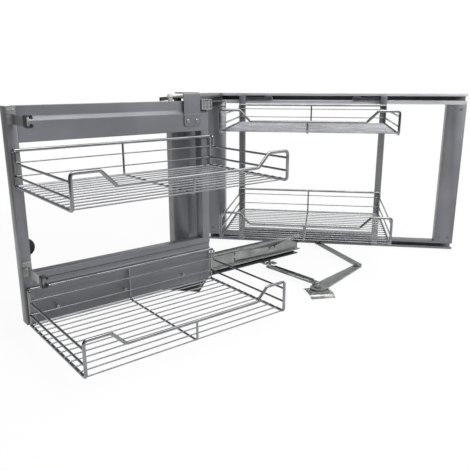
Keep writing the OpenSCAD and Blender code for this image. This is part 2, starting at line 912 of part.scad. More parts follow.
module runner_plates() {
    left = carriage_x;
    right = carriage_x1 - runner_l;
    color(dark) for (z = [top_roller_z, bottom_roller_z], i = [0, 1]) union() {
        block([i == 0 ? left : right, carriage_y1, z - runner_h / 2], [runner_l, runner_t, runner_h]);
        roller_axle(roller_xs[i], z);
    }
}

module roller(x, z, r) {
    color(nylon) translate([x, roller_y - roller_w / 2, z]) rotate([-90, 0, 0]) difference() {
        cylinder(h = roller_w, r = r);
        translate([0, 0, -1]) cylinder(h = roller_w + 2, r = axle_r + pin_gap);
    }
}

module top_roller_left() { roller(roller_xs[0], top_roller_z, top_roller_r); }

module top_roller_right() { roller(roller_xs[1], top_roller_z, top_roller_r); }

module bottom_roller_left() { roller(roller_xs[0], bottom_roller_z, bottom_roller_r); }

module bottom_roller_right() { roller(roller_xs[1], bottom_roller_z, bottom_roller_r); }

module place_rear_basket(z) {
    translate([carriage_x, carriage_y0 - run_gap, z]) children();
}

module upper_rear_floor() { place_rear_basket(rear_up_z) basket_floor(carriage_w, rear_basket_d); }

module upper_rear_rails() {
    place_rear_basket(rear_up_z) basket_rails(carriage_w, rear_basket_d, rear_up_h, 0);
}

module lower_rear_floor() { place_rear_basket(rear_low_z) basket_floor(carriage_w, rear_basket_d); }

module lower_rear_rails() {
    place_rear_basket(rear_low_z) basket_rails(carriage_w, rear_basket_d, rear_low_h, 0);
}

// Linkage

// Tapered web between two points
module web_2d(p, rp, q, rq) {
    d = (q - p) / norm(q - p);
    s = [-d[1], d[0]];
    polygon([p + rp * s, q + rq * s, q - rq * s, p - rp * s]);
}

// Flat link between two points with round ends
module link_2d(p, rp, q, rq) {
    translate(p) circle(rp);
    translate(q) circle(rq);
    web_2d(p, rp, q, rq);
}

// Crank plate: wide at the bolt, with a long tapered end and a short end
module crank_arm() {
    hub = 22;
    long_end = 12;
    short_end = 13;
    color(zinc) translate([0, 0, crank_z]) difference() {
        union() {
            linear_extrude(link_t) link_2d(crank_p, hub, elbow_p, long_end);
            linear_extrude(link_t) web_2d(crank_p, hub - 4, short_p, short_end - 1);
            translate([short_p[0], short_p[1], 0]) cylinder(h = link_t, r = short_end);
        }
        translate([crank_x, crank_y, -1]) cylinder(h = link_t + 2, r = crank_pin_r + pin_gap);
    }
}

module crank_rivets() {
    color(zinc) for (p = [elbow_p, short_p]) translate([p[0], p[1], crank_z + link_t]) union() {
        cylinder(h = rivet_top - crank_z - link_t, r = rivet_r);
        translate([0, 0, rivet_top - crank_z - link_t]) cylinder(h = 2, r = rivet_r + 3);
    }
}

module carriage_link() {
    color(zinc) difference() {
        union() {
            translate([0, 0, over_z]) linear_extrude(link_t) link_2d(elbow_p, 12, carriage_p, 11);
            translate([carriage_p[0], carriage_p[1], over_z]) cylinder(h = pin_top - over_z, r = rivet_r);
        }
        translate([elbow_p[0], elbow_p[1], over_z - 1]) cylinder(h = link_t + 2, r = rivet_r + pin_gap);
    }
}

// Grooved arm with turned-up edges and the pin that the catch takes
module pickup_link() {
    w = 11;
    edge = 2.5;
    color(zinc) difference() {
        union() {
            translate([0, 0, over_z]) linear_extrude(link_t) link_2d(short_p, w, pickup_p, w);
            translate([short_p[0], short_p[1], over_z + link_t]) rotate([0, 0, pickup_turn])
                for (y = [-w, w - edge]) block([w + 8, y, 0], [pickup_l - 2 * w - 8, edge, 3]);
            translate([pickup_p[0], pickup_p[1], over_z])
                cylinder(h = catch_z + catch_t - 0.5 - over_z, r = pickup_pin_r);
        }
        translate([short_p[0], short_p[1], over_z - 1]) cylinder(h = link_t + 2, r = rivet_r + pin_gap);
    }
}

rear_top_rail();
rear_bottom_rail();
rear_left_post();
rear_right_post();
frame_screws();
side_arm();
front_column();
pivot_post();
column_foot_plate();
top_pin();
linkage_foot_plate();
crank_pin();
base_rail();
slide_outer();
hinge_bush();
top_guide_arm();
guide_studs();
guide_knob();
catch_bracket();
catch_screws();
rail_end_knob();
guide_roller_front();
guide_roller_rear();
slide_middle();
ball_cages();
front_top_beam();
front_bottom_beam();
front_left_post();
front_right_post();
hook_bracket();
hook_screws();
guide_block();
slide_inner();
slide_spacers();
upper_front_floor();
upper_front_rails();
lower_front_floor();
lower_front_rails();
door_brackets();
door_bracket_pads();
door_bumper();
damper_catch();
carriage_left_post();
carriage_right_post();
carriage_crossbar();
runner_plates();
upper_rear_floor();
upper_rear_rails();
lower_rear_floor();
lower_rear_rails();
top_roller_left();
top_roller_right();
bottom_roller_left();
bottom_roller_right();
crank_arm();
crank_rivets();
carriage_link();
pickup_link();
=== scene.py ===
import json
import math

import bmesh
import bpy
from mathutils import Matrix, Vector


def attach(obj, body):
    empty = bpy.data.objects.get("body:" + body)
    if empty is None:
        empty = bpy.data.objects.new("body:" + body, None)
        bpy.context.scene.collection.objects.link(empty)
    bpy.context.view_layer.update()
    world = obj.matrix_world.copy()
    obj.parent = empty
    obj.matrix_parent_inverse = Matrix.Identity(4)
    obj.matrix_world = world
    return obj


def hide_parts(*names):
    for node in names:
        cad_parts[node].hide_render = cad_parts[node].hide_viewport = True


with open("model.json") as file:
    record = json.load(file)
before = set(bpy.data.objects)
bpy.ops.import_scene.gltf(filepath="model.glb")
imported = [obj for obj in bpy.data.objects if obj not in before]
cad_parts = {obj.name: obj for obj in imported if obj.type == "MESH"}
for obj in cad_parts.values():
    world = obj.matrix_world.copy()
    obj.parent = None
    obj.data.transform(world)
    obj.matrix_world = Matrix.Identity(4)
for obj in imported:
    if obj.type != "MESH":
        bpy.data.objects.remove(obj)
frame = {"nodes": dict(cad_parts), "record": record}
nodes = frame["nodes"]
slotOf = {part["node"]: part["material_slot"] for part in frame["record"]["subparts"]}
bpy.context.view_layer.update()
print("frame loaded:", len(nodes), "nodes")

mm = 0.001
swingAngle = 47.5  # the front unit is drawn along X and turned by this
swing = Matrix.Rotation(math.radians(swingAngle), 4, "Z")
still = Matrix.Identity(4)
upward, toRight = (0, 0, 1), (1, 0, 0)
toFront, toBack = (0, -1, 0), (0, 1, 0)
scene = bpy.context.scene
scene.view_settings.view_transform = "Standard"


# materials

def linear(code):
    values = [int(code[i:i + 2], 16) / 255 for i in (0, 2, 4)]
    return [v / 12.92 if v <= 0.04045 else ((v + 0.055) / 1.055) ** 2.4 for v in values] + [1.0]


# adds a node, sets what is given by value and links what is given as a socket
def addNode(tree, kind, settings=None, **inputs):
    made = tree.nodes.new(kind)
    for name, value in (settings or {}).items():
        setattr(made, name, value)
    for key, value in inputs.items():
        socket = made.inputs[int(key[1:])] if key[0] == "i" and key[1:].isdigit() else made.inputs[key]
        if isinstance(value, bpy.types.NodeSocket):
            tree.links.new(value, socket)
        else:
            socket.default_value = value
    return made


def newMaterial(name):
    material = bpy.data.materials.new(name)
    material.use_nodes = True
    tree = material.node_tree
    shader = tree.nodes["Principled BSDF"]
    place = addNode(tree, "ShaderNodeTexCoord").outputs["Object"]
    return material, tree, shader, place


# pattern repeats per metre for a grain of that many millimetres
def grain(size):
    return 1000.0 / size


toneEnds = (0.32, 0.68)  # noise values at which the first and the second tone are pure


# colour or value that drifts between two tones over a noise
def drift(tree, place, size, tones, detail=3.0, stretch=None):
    spot = place
    if stretch:
        spot = addNode(tree, "ShaderNodeMapping", Vector=place, Scale=stretch).outputs[0]
    noise = addNode(tree, "ShaderNodeTexNoise", Vector=spot, Scale=grain(size), Detail=detail)
    ramp = addNode(tree, "ShaderNodeValToRGB", Fac=noise.outputs["Fac"])
    for element, end, tone in zip(ramp.color_ramp.elements, toneEnds, tones):
        element.position = end
        element.color = linear(tone) if isinstance(tone, str) else [tone, tone, tone, 1.0]
    return ramp.outputs["Color"]


def coat(tree, shader, colour, rough):
    tree.links.new(colour, shader.inputs["Base Color"])
    tree.links.new(rough, shader.inputs["Roughness"])


# fine relief, its depth in millimetres
def emboss(tree, shader, height, strength, depth):
    bump = addNode(tree, "ShaderNodeBump", Strength=strength, Distance=depth * mm, Height=height)
    tree.links.new(bump.outputs["Normal"], shader.inputs["Normal"])


# polyester powder coat, sprayed and baked on folded steel: satin, with a fine orange peel
powderCoat = {
    "peel": 2.2,  # the real peel is under 1 mm, drawn coarser to show
    "peelDetail": 2.0,
    "relief": (0.12, 0.4),  # strength and depth
    "cloud": 160.0,
    "patch": 34.0,
    "rough": (0.3, 0.4),
    "ior": 1.5,
    "flake": 0.45,  # metal flake in the coat
    "darkFlake": 0.1,
    # painted shade: the darker groove tones start behind this depth
    "track": 492.0,  # the rails' lips end here
    "grooveShadeCloud": 30.0,
}


# a rail's roller track, behind its lips, gets darker tones: painted shade in the groove
def makePowderCoat(name, tones, flake, grooveShadeTones=None):
    material, tree, shader, place = newMaterial(name)
    colour = drift(tree, place, powderCoat["cloud"], tones)
    if grooveShadeTones:
        # painted shade: past that depth the coat turns to darker tones that stand for the groove's shade
        depth = addNode(tree, "ShaderNodeSeparateXYZ", Vector=place).outputs["Y"]
        inGrooveShade = addNode(
            tree, "ShaderNodeMath", {"operation": "GREATER_THAN"}, i0=depth, i1=powderCoat["track"] * mm,
        )
        track = drift(tree, place, powderCoat["grooveShadeCloud"], grooveShadeTones)
        blend = addNode(tree, "ShaderNodeMixRGB", Fac=inGrooveShade.outputs[0], Color1=colour, Color2=track)
        colour = blend.outputs[0]
    coat(tree, shader, colour, drift(tree, place, powderCoat["patch"], powderCoat["rough"]))
    peel = addNode(
        tree, "ShaderNodeTexNoise",
        Vector=place, Scale=grain(powderCoat["peel"]), Detail=powderCoat["peelDetail"],
    )
    emboss(tree, shader, peel.outputs["Fac"], *powderCoat["relief"])
    shader.inputs["IOR"].default_value = powderCoat["ior"]
    shader.inputs["Metallic"].default_value = flake
    return material


# zinc plated steel, rolled then passivated: dull, slightly olive, with clouds and a faint rolling grain
zincPlate = {
    "cloud": 22.0,
    "cloudDetail": 5.0,
    "roll": 3.0,
    "rollDetail": 2.0,
    "rollStretch": (1.0, 1.0, 0.12),
    "rough": (0.3, 0.48),
    "grit": 1.6,
    "gritDetail": 2.0,
    "relief": (0.1, 0.3),
    "metal": 0.9,
}


def makeZinc(name, tones):
    material, tree, shader, place = newMaterial(name)
    colour = drift(tree, place, zincPlate["cloud"], tones, zincPlate["cloudDetail"])
    rough = drift(
        tree, place, zincPlate["roll"], zincPlate["rough"], zincPlate["rollDetail"], zincPlate["rollStretch"],
    )
    coat(tree, shader, colour, rough)
    grit = addNode(
        tree, "ShaderNodeTexNoise",
        Vector=place, Scale=grain(zincPlate["grit"]), Detail=zincPlate["gritDetail"],
    )
    emboss(tree, shader, grit.outputs["Fac"], *zincPlate["relief"])
    shader.inputs["Metallic"].default_value = zincPlate["metal"]
    return material


# bright chrome on drawn steel wire: mirror-like, with a soft haze from the drawing
chromePlate = {"cloud": 60.0, "haze": 9.0, "rough": (0.1, 0.2)}


def makeChrome(name, tones):
    material, tree, shader, place = newMaterial(name)
    colour = drift(tree, place, chromePlate["cloud"], tones)
    coat(tree, shader, colour, drift(tree, place, chromePlate["haze"], chromePlate["rough"]))
    shader.inputs["Metallic"].default_value = 1.0
    return material


# moulded plastic or rubber: a fine spark-eroded grain, almost one colour
moulding = {"cloud": 18.0, "patch": 7.0, "relief": (0.1, 0.2)}


def makeMoulded(name, tones, rough, ior, texture):
    material, tree, shader, place = newMaterial(name)
    colour = drift(tree, place, moulding["cloud"], tones)
    coat(tree, shader, colour, drift(tree, place, moulding["patch"], rough))
    pits = addNode(tree, "ShaderNodeTexVoronoi", Vector=place, Scale=grain(texture))
    emboss(tree, shader, pits.outputs["Distance"], *moulding["relief"])
    shader.inputs["IOR"].default_value = ior
    return material


finishes = {
    "grey_paint": makePowderCoat("greyPowderCoat", ("6d6f73", "797b80"), powderCoat["flake"]),
    # the pale coat gets painted shade in its rails' groove
    "light_paint": makePowderCoat(
        "paleGreyPowderCoatGrooveShade", ("bbbcc1", "c8c9ce"), powderCoat["flake"], ("5c5d61", "68696d"),
    ),
    "dark_paint": makePowderCoat("graphitePowderCoat", ("35363a", "404145"), powderCoat["darkFlake"]),
    "zinc_steel": makeZinc("zincPlatedSteel", ("8e918f", "a6a8a6")),
    "chrome_wire": makeChrome("chromedSteelWire", ("808184", "98999c")),
    "nylon": makeMoulded("mouldedNylon", ("d6d6d0", "e2e2de"), (0.4, 0.52), 1.53, 1.5),
    "grey_plastic": makeMoulded("greyMouldedAbs", ("858588", "949497"), (0.42, 0.55), 1.54, 1.8),
    "black_plastic": makeMoulded("blackMouldedAbs", ("161618", "1f1f22"), (0.35, 0.5), 1.54, 1.8),
    "rubber": makeMoulded("blackMouldedRubber", ("121213", "1b1b1c"), (0.6, 0.72), 1.52, 1.4),
}
print("materials made:", len(finishes))


# CAD nodes keep their shape and get their finish and a small rounded edge
edgeRound = {
    "grey_paint": 0.9, "light_paint": 0.9, "dark_paint": 0.9, "zinc_steel": 0.6,
    "nylon": 0.7, "grey_plastic": 0.9, "black_plastic": 0.9, "rubber": 1.0,
}
edgeRule = {"weld": 0.01, "segments": 2, "angle": 32.0}
sheetEdge = 0.7
fineEdge = 0.4


def roundEdges(piece, width):
    weld = piece.modifiers.new("weld", "WELD")
    weld.merge_threshold = edgeRule["weld"] * mm
    edge = piece.modifiers.new("edge", "BEVEL")
    edge.width = width * mm
    edge.segments = edgeRule["segments"]
    edge.limit_method = "ANGLE"
    edge.angle_limit = math.radians(edgeRule["angle"])
    edge.use_clamp_overlap = True
    edge.harden_normals = True
    for face in piece.data.polygons:
        face.use_smooth = True


for name, piece in nodes.items():
    finish = slotOf[name]
    piece.data.materials.clear()
    piece.data.materials.append(finishes[finish])
    if finish != "chrome_wire":
        roundEdges(piece, edgeRound[finish])
print("CAD nodes dressed")


# a mesh or curve put in place and set to ride
def addPiece(name, data, finish, body, place=still, replaced=()):
    piece = bpy.data.objects.new(name, data)
    scene.collection.objects.link(piece)
    piece.data.materials.append(finishes[finish])
    piece.matrix_world = place
    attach(piece, body)
    if replaced:
        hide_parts(*replaced)
    return piece


# build draws in millimetres
def meshFrom(name, build):
    shape = bmesh.new()
    build(shape)
    bmesh.ops.recalc_face_normals(shape, faces=shape.faces)
    bmesh.ops.scale(shape, vec=(mm, mm, mm), verts=shape.verts)
    mesh = bpy.data.meshes.new(name)
    shape.to_mesh(mesh)
    shape.free()
    for face in mesh.polygons:
        face.use_smooth = True
    return mesh


# wire work

bendShare = 0.48  # of the shorter leg, at most, goes into a bend
bendSteps = 6
wireRound = 3


# corner points of a bent wire, each corner turned on its bend radius
def bendWire(points, radius):
    points = [Vector(p) for p in points]
    path = [points[0]]
    for before, corner, after in zip(points, points[1:], points[2:]):
        back = before - corner
        ahead = after - corner
        turn = back.angle(ahead)
        reach = min(radius / math.tan(turn / 2), back.length * bendShare, ahead.length * bendShare)
        start = corner + back.normalized() * reach
        end = corner + ahead.normalized() * reach
        for i in range(bendSteps + 1):
            t = i / bendSteps
            path.append(start * (1 - t) ** 2 + corner * 2 * t * (1 - t) + end * t ** 2)
    path.append(points[-1])
    return path


def addWires(name, paths, diameter, body, place, replaced=()):
    curve = bpy.data.curves.new(name, "CURVE")
    curve.dimensions = "3D"
    curve.bevel_depth = diameter / 2 * mm
    curve.bevel_resolution = wireRound
    curve.use_fill_caps = True
    for path in paths:
        spline = curve.splines.new("POLY")
        spline.points.add(len(path) - 1)
        for point, spot in zip(spline.points, path):
            point.co = (spot[0] * mm, spot[1] * mm, spot[2] * mm, 1.0)
    return addPiece(name, curve, "chrome_wire", body, place, replaced)


basket = {
    "rim": 7.0,  # wire diameters
    "side": 5.0,
    "thin": 3.0,
    "pitch": 24.0,
    "horn": 58.0,
    "slope": 30.0,
    "drop": 30.0,
    "bend": 9.0,
    "hoopBend": 10.0,
    "archBend": 6.4,
    "arch": 13.0,  # how far in front of the back the side rail turns up
    "dip": 1.0,  # the back rail lies this far under the arches
    "sink": 0.4,  # the hoop's wire lies this far under the rim's middle
    "weld": 0.5,  # the floor wires are welded this far into the hoop
    "inset": 1.0,
    "sideHigh": 0.74,  # shares of the basket's height
    "sideLow": 0.345,
    "backRails": (0.345, 0.74),
}


# back at y 0, front at y -depth, length along x; the back rail stands higher than the front by rise
def addBasket(name, length, depth, height, rise, body, place, floorNode, railNode):
    radius = basket["rim"] / 2
    back, front = -radius, radius - depth
    left, right = radius, length - radius
    top = height - radius
    peak = top + rise
    low = top - basket["drop"]
    middle = length / 2
    horn, slope = basket["horn"], basket["horn"] + basket["slope"]
    under = radius - basket["sink"]
    rim = [
        (left, back, radius), (left, front, radius), (left, front, top), (horn, front, top),
        (slope, front, low), (length - slope, front, low),
        (length - horn, front, top), (right, front, top), (right, front, radius), (right, back, radius),
    ]
    rail = [(left, back, peak - basket["dip"]), (right, back, peak - basket["dip"])]
    rimPaths = [bendWire(rim, basket["bend"]), rail]
    addWires(name + "RimWire", rimPaths, basket["rim"], body, place, [railNode])

    high, lowSide = height * basket["sideHigh"], height * basket["sideLow"]
    arch = back - basket["arch"]
    hoop = [(middle, front, low), (middle, front, under), (middle, back, under), (middle, back, peak)]
    sidePaths = [bendWire(hoop, basket["hoopBend"]), [(left, back, radius), (right, back, radius)]]
    for x in (left, right):
        loop = [(x, front, high), (x, arch, high), (x, arch, peak), (x, back, peak), (x, back, radius)]
        sidePaths.append(bendWire(loop, basket["archBend"]))
        sidePaths.append([(x, back, lowSide), (x, front, lowSide)])
    addWires(name + "SideWire", sidePaths, basket["side"], body, place)

    rest = under + basket["side"] / 2 + basket["thin"] / 2 - basket["weld"]
    count = int((depth - 2 * basket["rim"]) / basket["pitch"])
    step = (depth - basket["rim"]) / (count + 1)
    rows = [back - i * step for i in range(1, count + 1)] + [front]
    start, end = basket["inset"], length - basket["inset"]
    thinPaths = [[(start, y, rest), (end, y, rest)] for y in rows]
    for share in basket["backRails"]:
        thinPaths.append([(left, back, height * share), (right, back, height * share)])
    addWires(name + "FloorWire", thinPaths, basket["thin"], body, place, [floorNode])


frontBaskets = {"x": -460.0, "y": -78.3, "length": 506.0, "depth": 300.0, "rise": 11.0}
rearBaskets = {"x": 93.0, "y": 462.7, "length": 488.0, "depth": 380.0, "rise": 0.0}
# height of the floor and of the sides
basketLevels = {
    ("upper", "Front"): (348.0, 72.0),
    ("lower", "Front"): (32.0, 82.0),
    ("upper", "Rear"): (424.0, 67.0),
    ("lower", "Rear"): (120.0, 82.0),
}
for (level, unit), (base, height) in basketLevels.items():
    inFront = unit == "Front"
    spec = frontBaskets if inFront else rearBaskets
    spot = Matrix.Translation((spec["x"] * mm, spec["y"] * mm, base * mm))
    node = level + "_" + unit.lower()
    addBasket(
        level + unit + "Basket", spec["length"], spec["depth"], height, spec["rise"],
        "front_unit" if inFront else "carriage",
        (swing if inFront else still) @ spot, node + "_floor", node + "_rails",
    )
print("wire baskets made")


# folded and turned pieces

# how a strip's own axes lie: along, up and across
planes = {
    "YZ": lambda a, b, c: (c, a, b),
    "XZ": lambda a, b, c: (a, c, b),
    "XY": lambda a, b, c: (a, b, c),
}
cornerSteps = 7


# a strip of sheet bent along points of a plane, from low to high across it, with rounded end corners
def addStrip(shape, plane, points, low, high, thick, bend=1.0, startRound=0.0, endRound=0.0):
    path = bendWire([(a, b, 0.0) for a, b in points], bend)
    first, last = path[0], path[-1]
    shares = [1 - math.cos(i / cornerSteps * math.pi / 2) for i in range(cornerSteps + 1)]
    if startRound:
        reach = (path[1] - first).normalized() * startRound
        path[:1] = [first + reach * share for share in shares]
    if endRound:
        reach = (path[-2] - last).normalized() * endRound
        path[-1:] = [last + reach * share for share in reversed(shares)]
    toSpace = planes[plane]
    rings = []
    for i, spot in enumerate(path):
        ahead = path[min(i + 1, len(path) - 1)] - path[max(i - 1, 0)]
        side = Vector((-ahead.y, ahead.x, 0.0)).normalized() * thick / 2
        inset = 0.0
        for end, size in ((first, startRound), (last, endRound)):
            gone = (spot - end).length
            if size and gone < size:
                inset = size - math.sqrt(size ** 2 - (size - gone) ** 2)
        near, far = low + inset, high - inset
        ring = []
        for edge, across in ((-side, near), (-side, far), (side, far), (side, near)):
            ring.append(shape.verts.new(toSpace(spot.x + edge.x, spot.y + edge.y, across)))
        rings.append(ring)
    for one, two in zip(rings, rings[1:]):
        for i in range(len(one)):
            k = (i + 1) % len(one)
            shape.faces.new((one[i], one[k], two[k], two[i]))
    shape.faces.new(rings[0])
    shape.faces.new(list(reversed(rings[-1])))


def turnTo(axis):
    return Vector(upward).rotation_difference(Vector(axis)).to_matrix()


# a turned shape from (radius, height) points, standing on a spot along an axis
def addLathe(shape, profile, spot, axis, around=32):
    turn = turnTo(axis)
    rings = []
    for radius, height in profile:
        if radius == 0:
            rings.append([shape.verts.new(Vector(spot) + turn @ Vector((0, 0, height)))])
            continue
        ring = []
        for i in range(around):
            angle = 2 * math.pi * i / around
            point = Vector((radius * math.cos(angle), radius * math.sin(angle), height))
            ring.append(shape.verts.new(Vector(spot) + turn @ point))
        rings.append(ring)
    for one, two in zip(rings, rings[1:]):
        for i in range(around):
            k = (i + 1) % around
            corners = [one[i % len(one)], one[k % len(one)], two[k % len(two)], two[i % len(two)]]
            shape.faces.new(list(dict.fromkeys(corners)))
    return rings


# pan head screw with a cross recess, in shares of its radius and height
screwHead = {
    "profile": ((1.0, 0.0), (1.0, 0.3), (0.88, 0.75), (0.62, 1.0)),
    "around": 24,
    "arm": 0.46,
    "half": 0.13,
    "recess": 0.45,
}


def addScrew(shape, spot, axis, radius, height):
    profile = [(radius * wide, height * tall) for wide, tall in screwHead["profile"]]
    rim = addLathe(shape, profile, spot, axis, screwHead["around"])[-1]
    turn = turnTo(axis)
    arm, half = radius * screwHead["arm"], radius * screwHead["half"]
    plus = [
        (arm, -half), (arm, half), (half, half), (half, arm), (-half, arm), (-half, half),
        (-arm, half), (-arm, -half), (-half, -half), (-half, -arm), (half, -arm), (half, -half),
    ]
    loops = []
    for depth in (height, height * screwHead["recess"]):
        loops.append([shape.verts.new(Vector(spot) + turn @ Vector((x, y, depth))) for x, y in plus])
    edges = [shape.edges.get((a, b)) for a, b in zip(rim, rim[1:] + rim[:1])]
    edges += [shape.edges.new((a, b)) for a, b in zip(loops[0], loops[0][1:] + loops[0][:1])]
    bmesh.ops.triangle_fill(shape, use_beauty=True, edges=edges)
    for i in range(len(plus)):
        k = (i + 1) % len(plus)
        shape.faces.new((loops[0][i], loops[0][k], loops[1][k], loops[1][i]))
    shape.faces.new(loops[1])


def addTurnedPiece(name, build, finish, body, place, replaced=()):
    return addPiece(name, meshFrom(name, build), finish, body, place, replaced)


def addSheetPiece(name, build, finish, body, place, replaced=(), edge=sheetEdge):
    roundEdges(addTurnedPiece(name, build, finish, body, place, replaced), edge)


# hook plate over the front frame's top beam: it bends back over the guide arm
hook = {
    "left": -33.0, "right": 16.0, "front": -79.5, "back": -37.5, "low": 454.0, "top": 535.5, "thick": 3.0,
    "pad": 482.0,  # the plate stands forward by a step up to here
    "step": 0.9,
    "ramp": 3.0,
    "bend": 5.0,
    "lowRound": 9.0,
    "backRound": 3.0,
}
hookScrew = {"x": (-22.0, 5.0), "y": -81.0, "z": 467.0, "radius": 5.2, "height": 2.4}


def buildHook(shape):
    face = hook["front"] + hook["step"]
    points = [
        (hook["front"], hook["low"]), (hook["front"], hook["pad"]), (face, hook["pad"] + hook["ramp"]),
        (face, hook["top"]), (hook["back"], hook["top"]),
    ]
    addStrip(
        shape, "YZ", points, hook["left"], hook["right"], hook["thick"],
        hook["bend"], hook["lowRound"], hook["backRound"],
    )


def buildHookScrews(shape):
    for x in hookScrew["x"]:
        spot = (x, hookScrew["y"], hookScrew["z"])
        addScrew(shape, spot, toFront, hookScrew["radius"], hookScrew["height"])


addSheetPiece("hookPlate", buildHook, "grey_paint", "front_unit", swing, ["hook_bracket"])
addTurnedPiece("hookScrews", buildHookScrews, "zinc_steel", "front_unit", swing, ["hook_screws"])

# moulded end of the roller channel: a thin shell with ribs, open to the front, and a cheek past the beam
guideBlock = {
    "left": 20.0, "right": 52.0, "front": -82.0, "back": -72.0, "low": 494.0, "high": 520.0,
    "wall": 2.0,
    "bend": 3.0,
    "floor": 4.0,  # depth of the pockets between the ribs
    "rib": 1.6,
    "levels": (0.36, 0.68),  # shares of the inner height
    "levelInset": 1.0,
    "uprights": (0.3, 0.62),  # shares of the inner width
    "uprightInset": 1.6,
    "cheek": 42.0,
    "cheekBack": -50.0,
}


def buildGuideBlock(shape):
    wall, rib = guideBlock["wall"], guideBlock["rib"]
    front, back = guideBlock["front"], guideBlock["back"]
    x0, x1 = guideBlock["left"] + wall / 2, guideBlock["right"] - wall / 2
    z0, z1 = guideBlock["low"] + wall / 2, guideBlock["high"] - wall / 2
    middle = (x0 + x1) / 2
    shell = [(middle, z1), (x0, z1), (x0, z0), (x1, z0), (x1, z1), (middle, z1)]
    addStrip(shape, "XZ", shell, front, back, wall, guideBlock["bend"])
    for share in guideBlock["levels"]:
        level = z0 + (z1 - z0) * share
        addStrip(shape, "XZ", [(x0, level), (x1, level)], front + guideBlock["levelInset"], back, rib)
    for share in guideBlock["uprights"]:
        x = x0 + (x1 - x0) * share
        addStrip(shape, "XZ", [(x, z0), (x, z1)], front + guideBlock["uprightInset"], back, rib)
    floor = front + guideBlock["floor"]
    centre = (z0 + z1) / 2
    addStrip(shape, "XZ", [(x0, centre), (x1, centre)], floor, floor + wall, z1 - z0)
    cheek = (guideBlock["cheek"] + guideBlock["right"]) / 2
    wide = guideBlock["right"] - guideBlock["cheek"]
    addStrip(shape, "XZ", [(cheek, z0), (cheek, z1)], back, guideBlock["cheekBack"], wide)


addSheetPiece(
    "guideBlockShell", buildGuideBlock, "grey_plastic", "front_unit", swing, ["guide_block"], fineEdge,
)

# door brackets: a flange on the post's face and an arm towards the door
doorBracket = {
    "levels": (151.0, 479.0),
    "height": 20.0,
    "thick": 2.4,
    "side": -462.0,
    "post": -79.5,
    "arm": -449.5,
    "armEnd": -166.0,
    "bend": 5.0,
    "flangeRound": 4.0,
    "armRound": 5.0,
}
# rolled lower edge that stiffens the arm
doorBracketEdge = {"rise": 1.2, "wide": 7.0, "thick": 2.0, "front": -150.0, "back": -90.0}
# plate that holds it to the post
doorBracketPlate = {"end": -443.0, "low": 0.6, "high": 15.0, "round": 2.5}
# black clip on the arm's end
doorClip = {
    "tip": -169.0, "length": 15.0, "left": 2.6, "right": 9.5,
    "over": 1.0, "lip": 5.0, "thick": 3.0, "bend": 2.5,
}
doorArmScrew = {"y": (-100.0, -128.0), "rise": 11.0, "radius": 3.4, "height": 2.0}
doorPlateScrew = {"x": (-457.5, -447.5), "rise": 28.0, "radius": 3.4, "height": 1.6}


def buildDoorBrackets(shape):
    side, post, arm = doorBracket["side"], doorBracket["post"], doorBracket["arm"]
    thick = doorBracket["thick"]
    rolled, plate = doorBracketEdge, doorBracketPlate
    for low in doorBracket["levels"]:
        high = low + doorBracket["height"]
        points = [(side, post), (arm, post), (arm, doorBracket["armEnd"])]
        addStrip(
            shape, "XY", points, low, high, thick,
            doorBracket["bend"], doorBracket["flangeRound"], doorBracket["armRound"],
        )
        level = low + rolled["rise"]
        points = [(arm, level), (arm + rolled["wide"], level)]
        addStrip(shape, "XZ", points, rolled["front"], rolled["back"], rolled["thick"])
        points = [(side, post), (plate["end"], post)]
        addStrip(
            shape, "XY", points, high + plate["low"], high + plate["high"], thick,
            startRound=plate["round"], endRound=plate["round"],
        )


def buildDoorClips(shape):
    for level in doorBracket["levels"]:
        low, high = level - doorClip["over"], level + doorBracket["height"] + doorClip["over"]
        lipLow, lipHigh = level + doorClip["lip"], level + doorBracket["height"] - doorClip["lip"]
        x0, x1 = doorBracket["arm"] - doorClip["left"], doorBracket["arm"] + doorClip["right"]
        points = [(x1, lipLow), (x1, low), (x0, low), (x0, high), (x1, high), (x1, lipHigh)]
        tip = doorClip["tip"]
        addStrip(shape, "XZ", points, tip, tip + doorClip["length"], doorClip["thick"], doorClip["bend"])


def buildDoorScrews(shape):
    half = doorBracket["thick"] / 2
    for low in doorBracket["levels"]:
        for y in doorArmScrew["y"]:
            spot = (doorBracket["arm"] + half, y, low + doorArmScrew["rise"])
            addScrew(shape, spot, toRight, doorArmScrew["radius"], doorArmScrew["height"])
        for x in doorPlateScrew["x"]:
            spot = (x, doorBracket["post"] - half, low + doorPlateScrew["rise"])
            addScrew(shape, spot, toFront, doorPlateScrew["radius"], doorPlateScrew["height"])


addSheetPiece(
    "doorBracketStrips", buildDoorBrackets, "zinc_steel", "front_unit", swing, ["door_brackets"], fineEdge,
)
addSheetPiece("doorBracketClips", buildDoorClips, "black_plastic", "front_unit", swing, ["door_bracket_pads"])
addTurnedPiece("doorBracketScrews", buildDoorScrews, "zinc_steel", "front_unit", swing)

# headed pins on the bottom beam that the lower basket hangs on by its low back wire
basketPin = {
    "x": (-392.0, -220.0, -48.0), "y": -75.0, "z": 64.5,
    "profile": ((0.0, 0.0), (2.2, 0.0), (2.2, 5.0), (4.0, 5.2), (4.2, 6.4), (3.2, 7.4), (0.0, 7.6)),
    "around": 20,
}


def buildBasketPins(shape):
    for x in basketPin["x"]:
        spot = (x, basketPin["y"], basketPin["z"])
        addLathe(shape, basketPin["profile"], spot, toFront, basketPin["around"])


addTurnedPiece("basketPins", buildBasketPins, "zinc_steel", "front_unit", swing)

# rubber bumper on the back of the left post: a domed disc with a sunk middle
bumper = {
    "spot": (-442.0, -50.0, 208.0),
    "profile": (
        (0.0, 0.0), (21.0, 0.0), (21.0, 3.4), (20.3, 5.2), (18.4, 6.8), (15.0, 7.8), (7.5, 7.8), (6.5, 7.2),
        (6.0, 4.0), (0.0, 4.0),
    ),
    "around": 48,
}


def buildBumper(shape):
    addLathe(shape, bumper["profile"], bumper["spot"], toBack, bumper["around"])


addTurnedPiece("doorBumperDisc", buildBumper, "rubber", "front_unit", swing, ["door_bumper"])

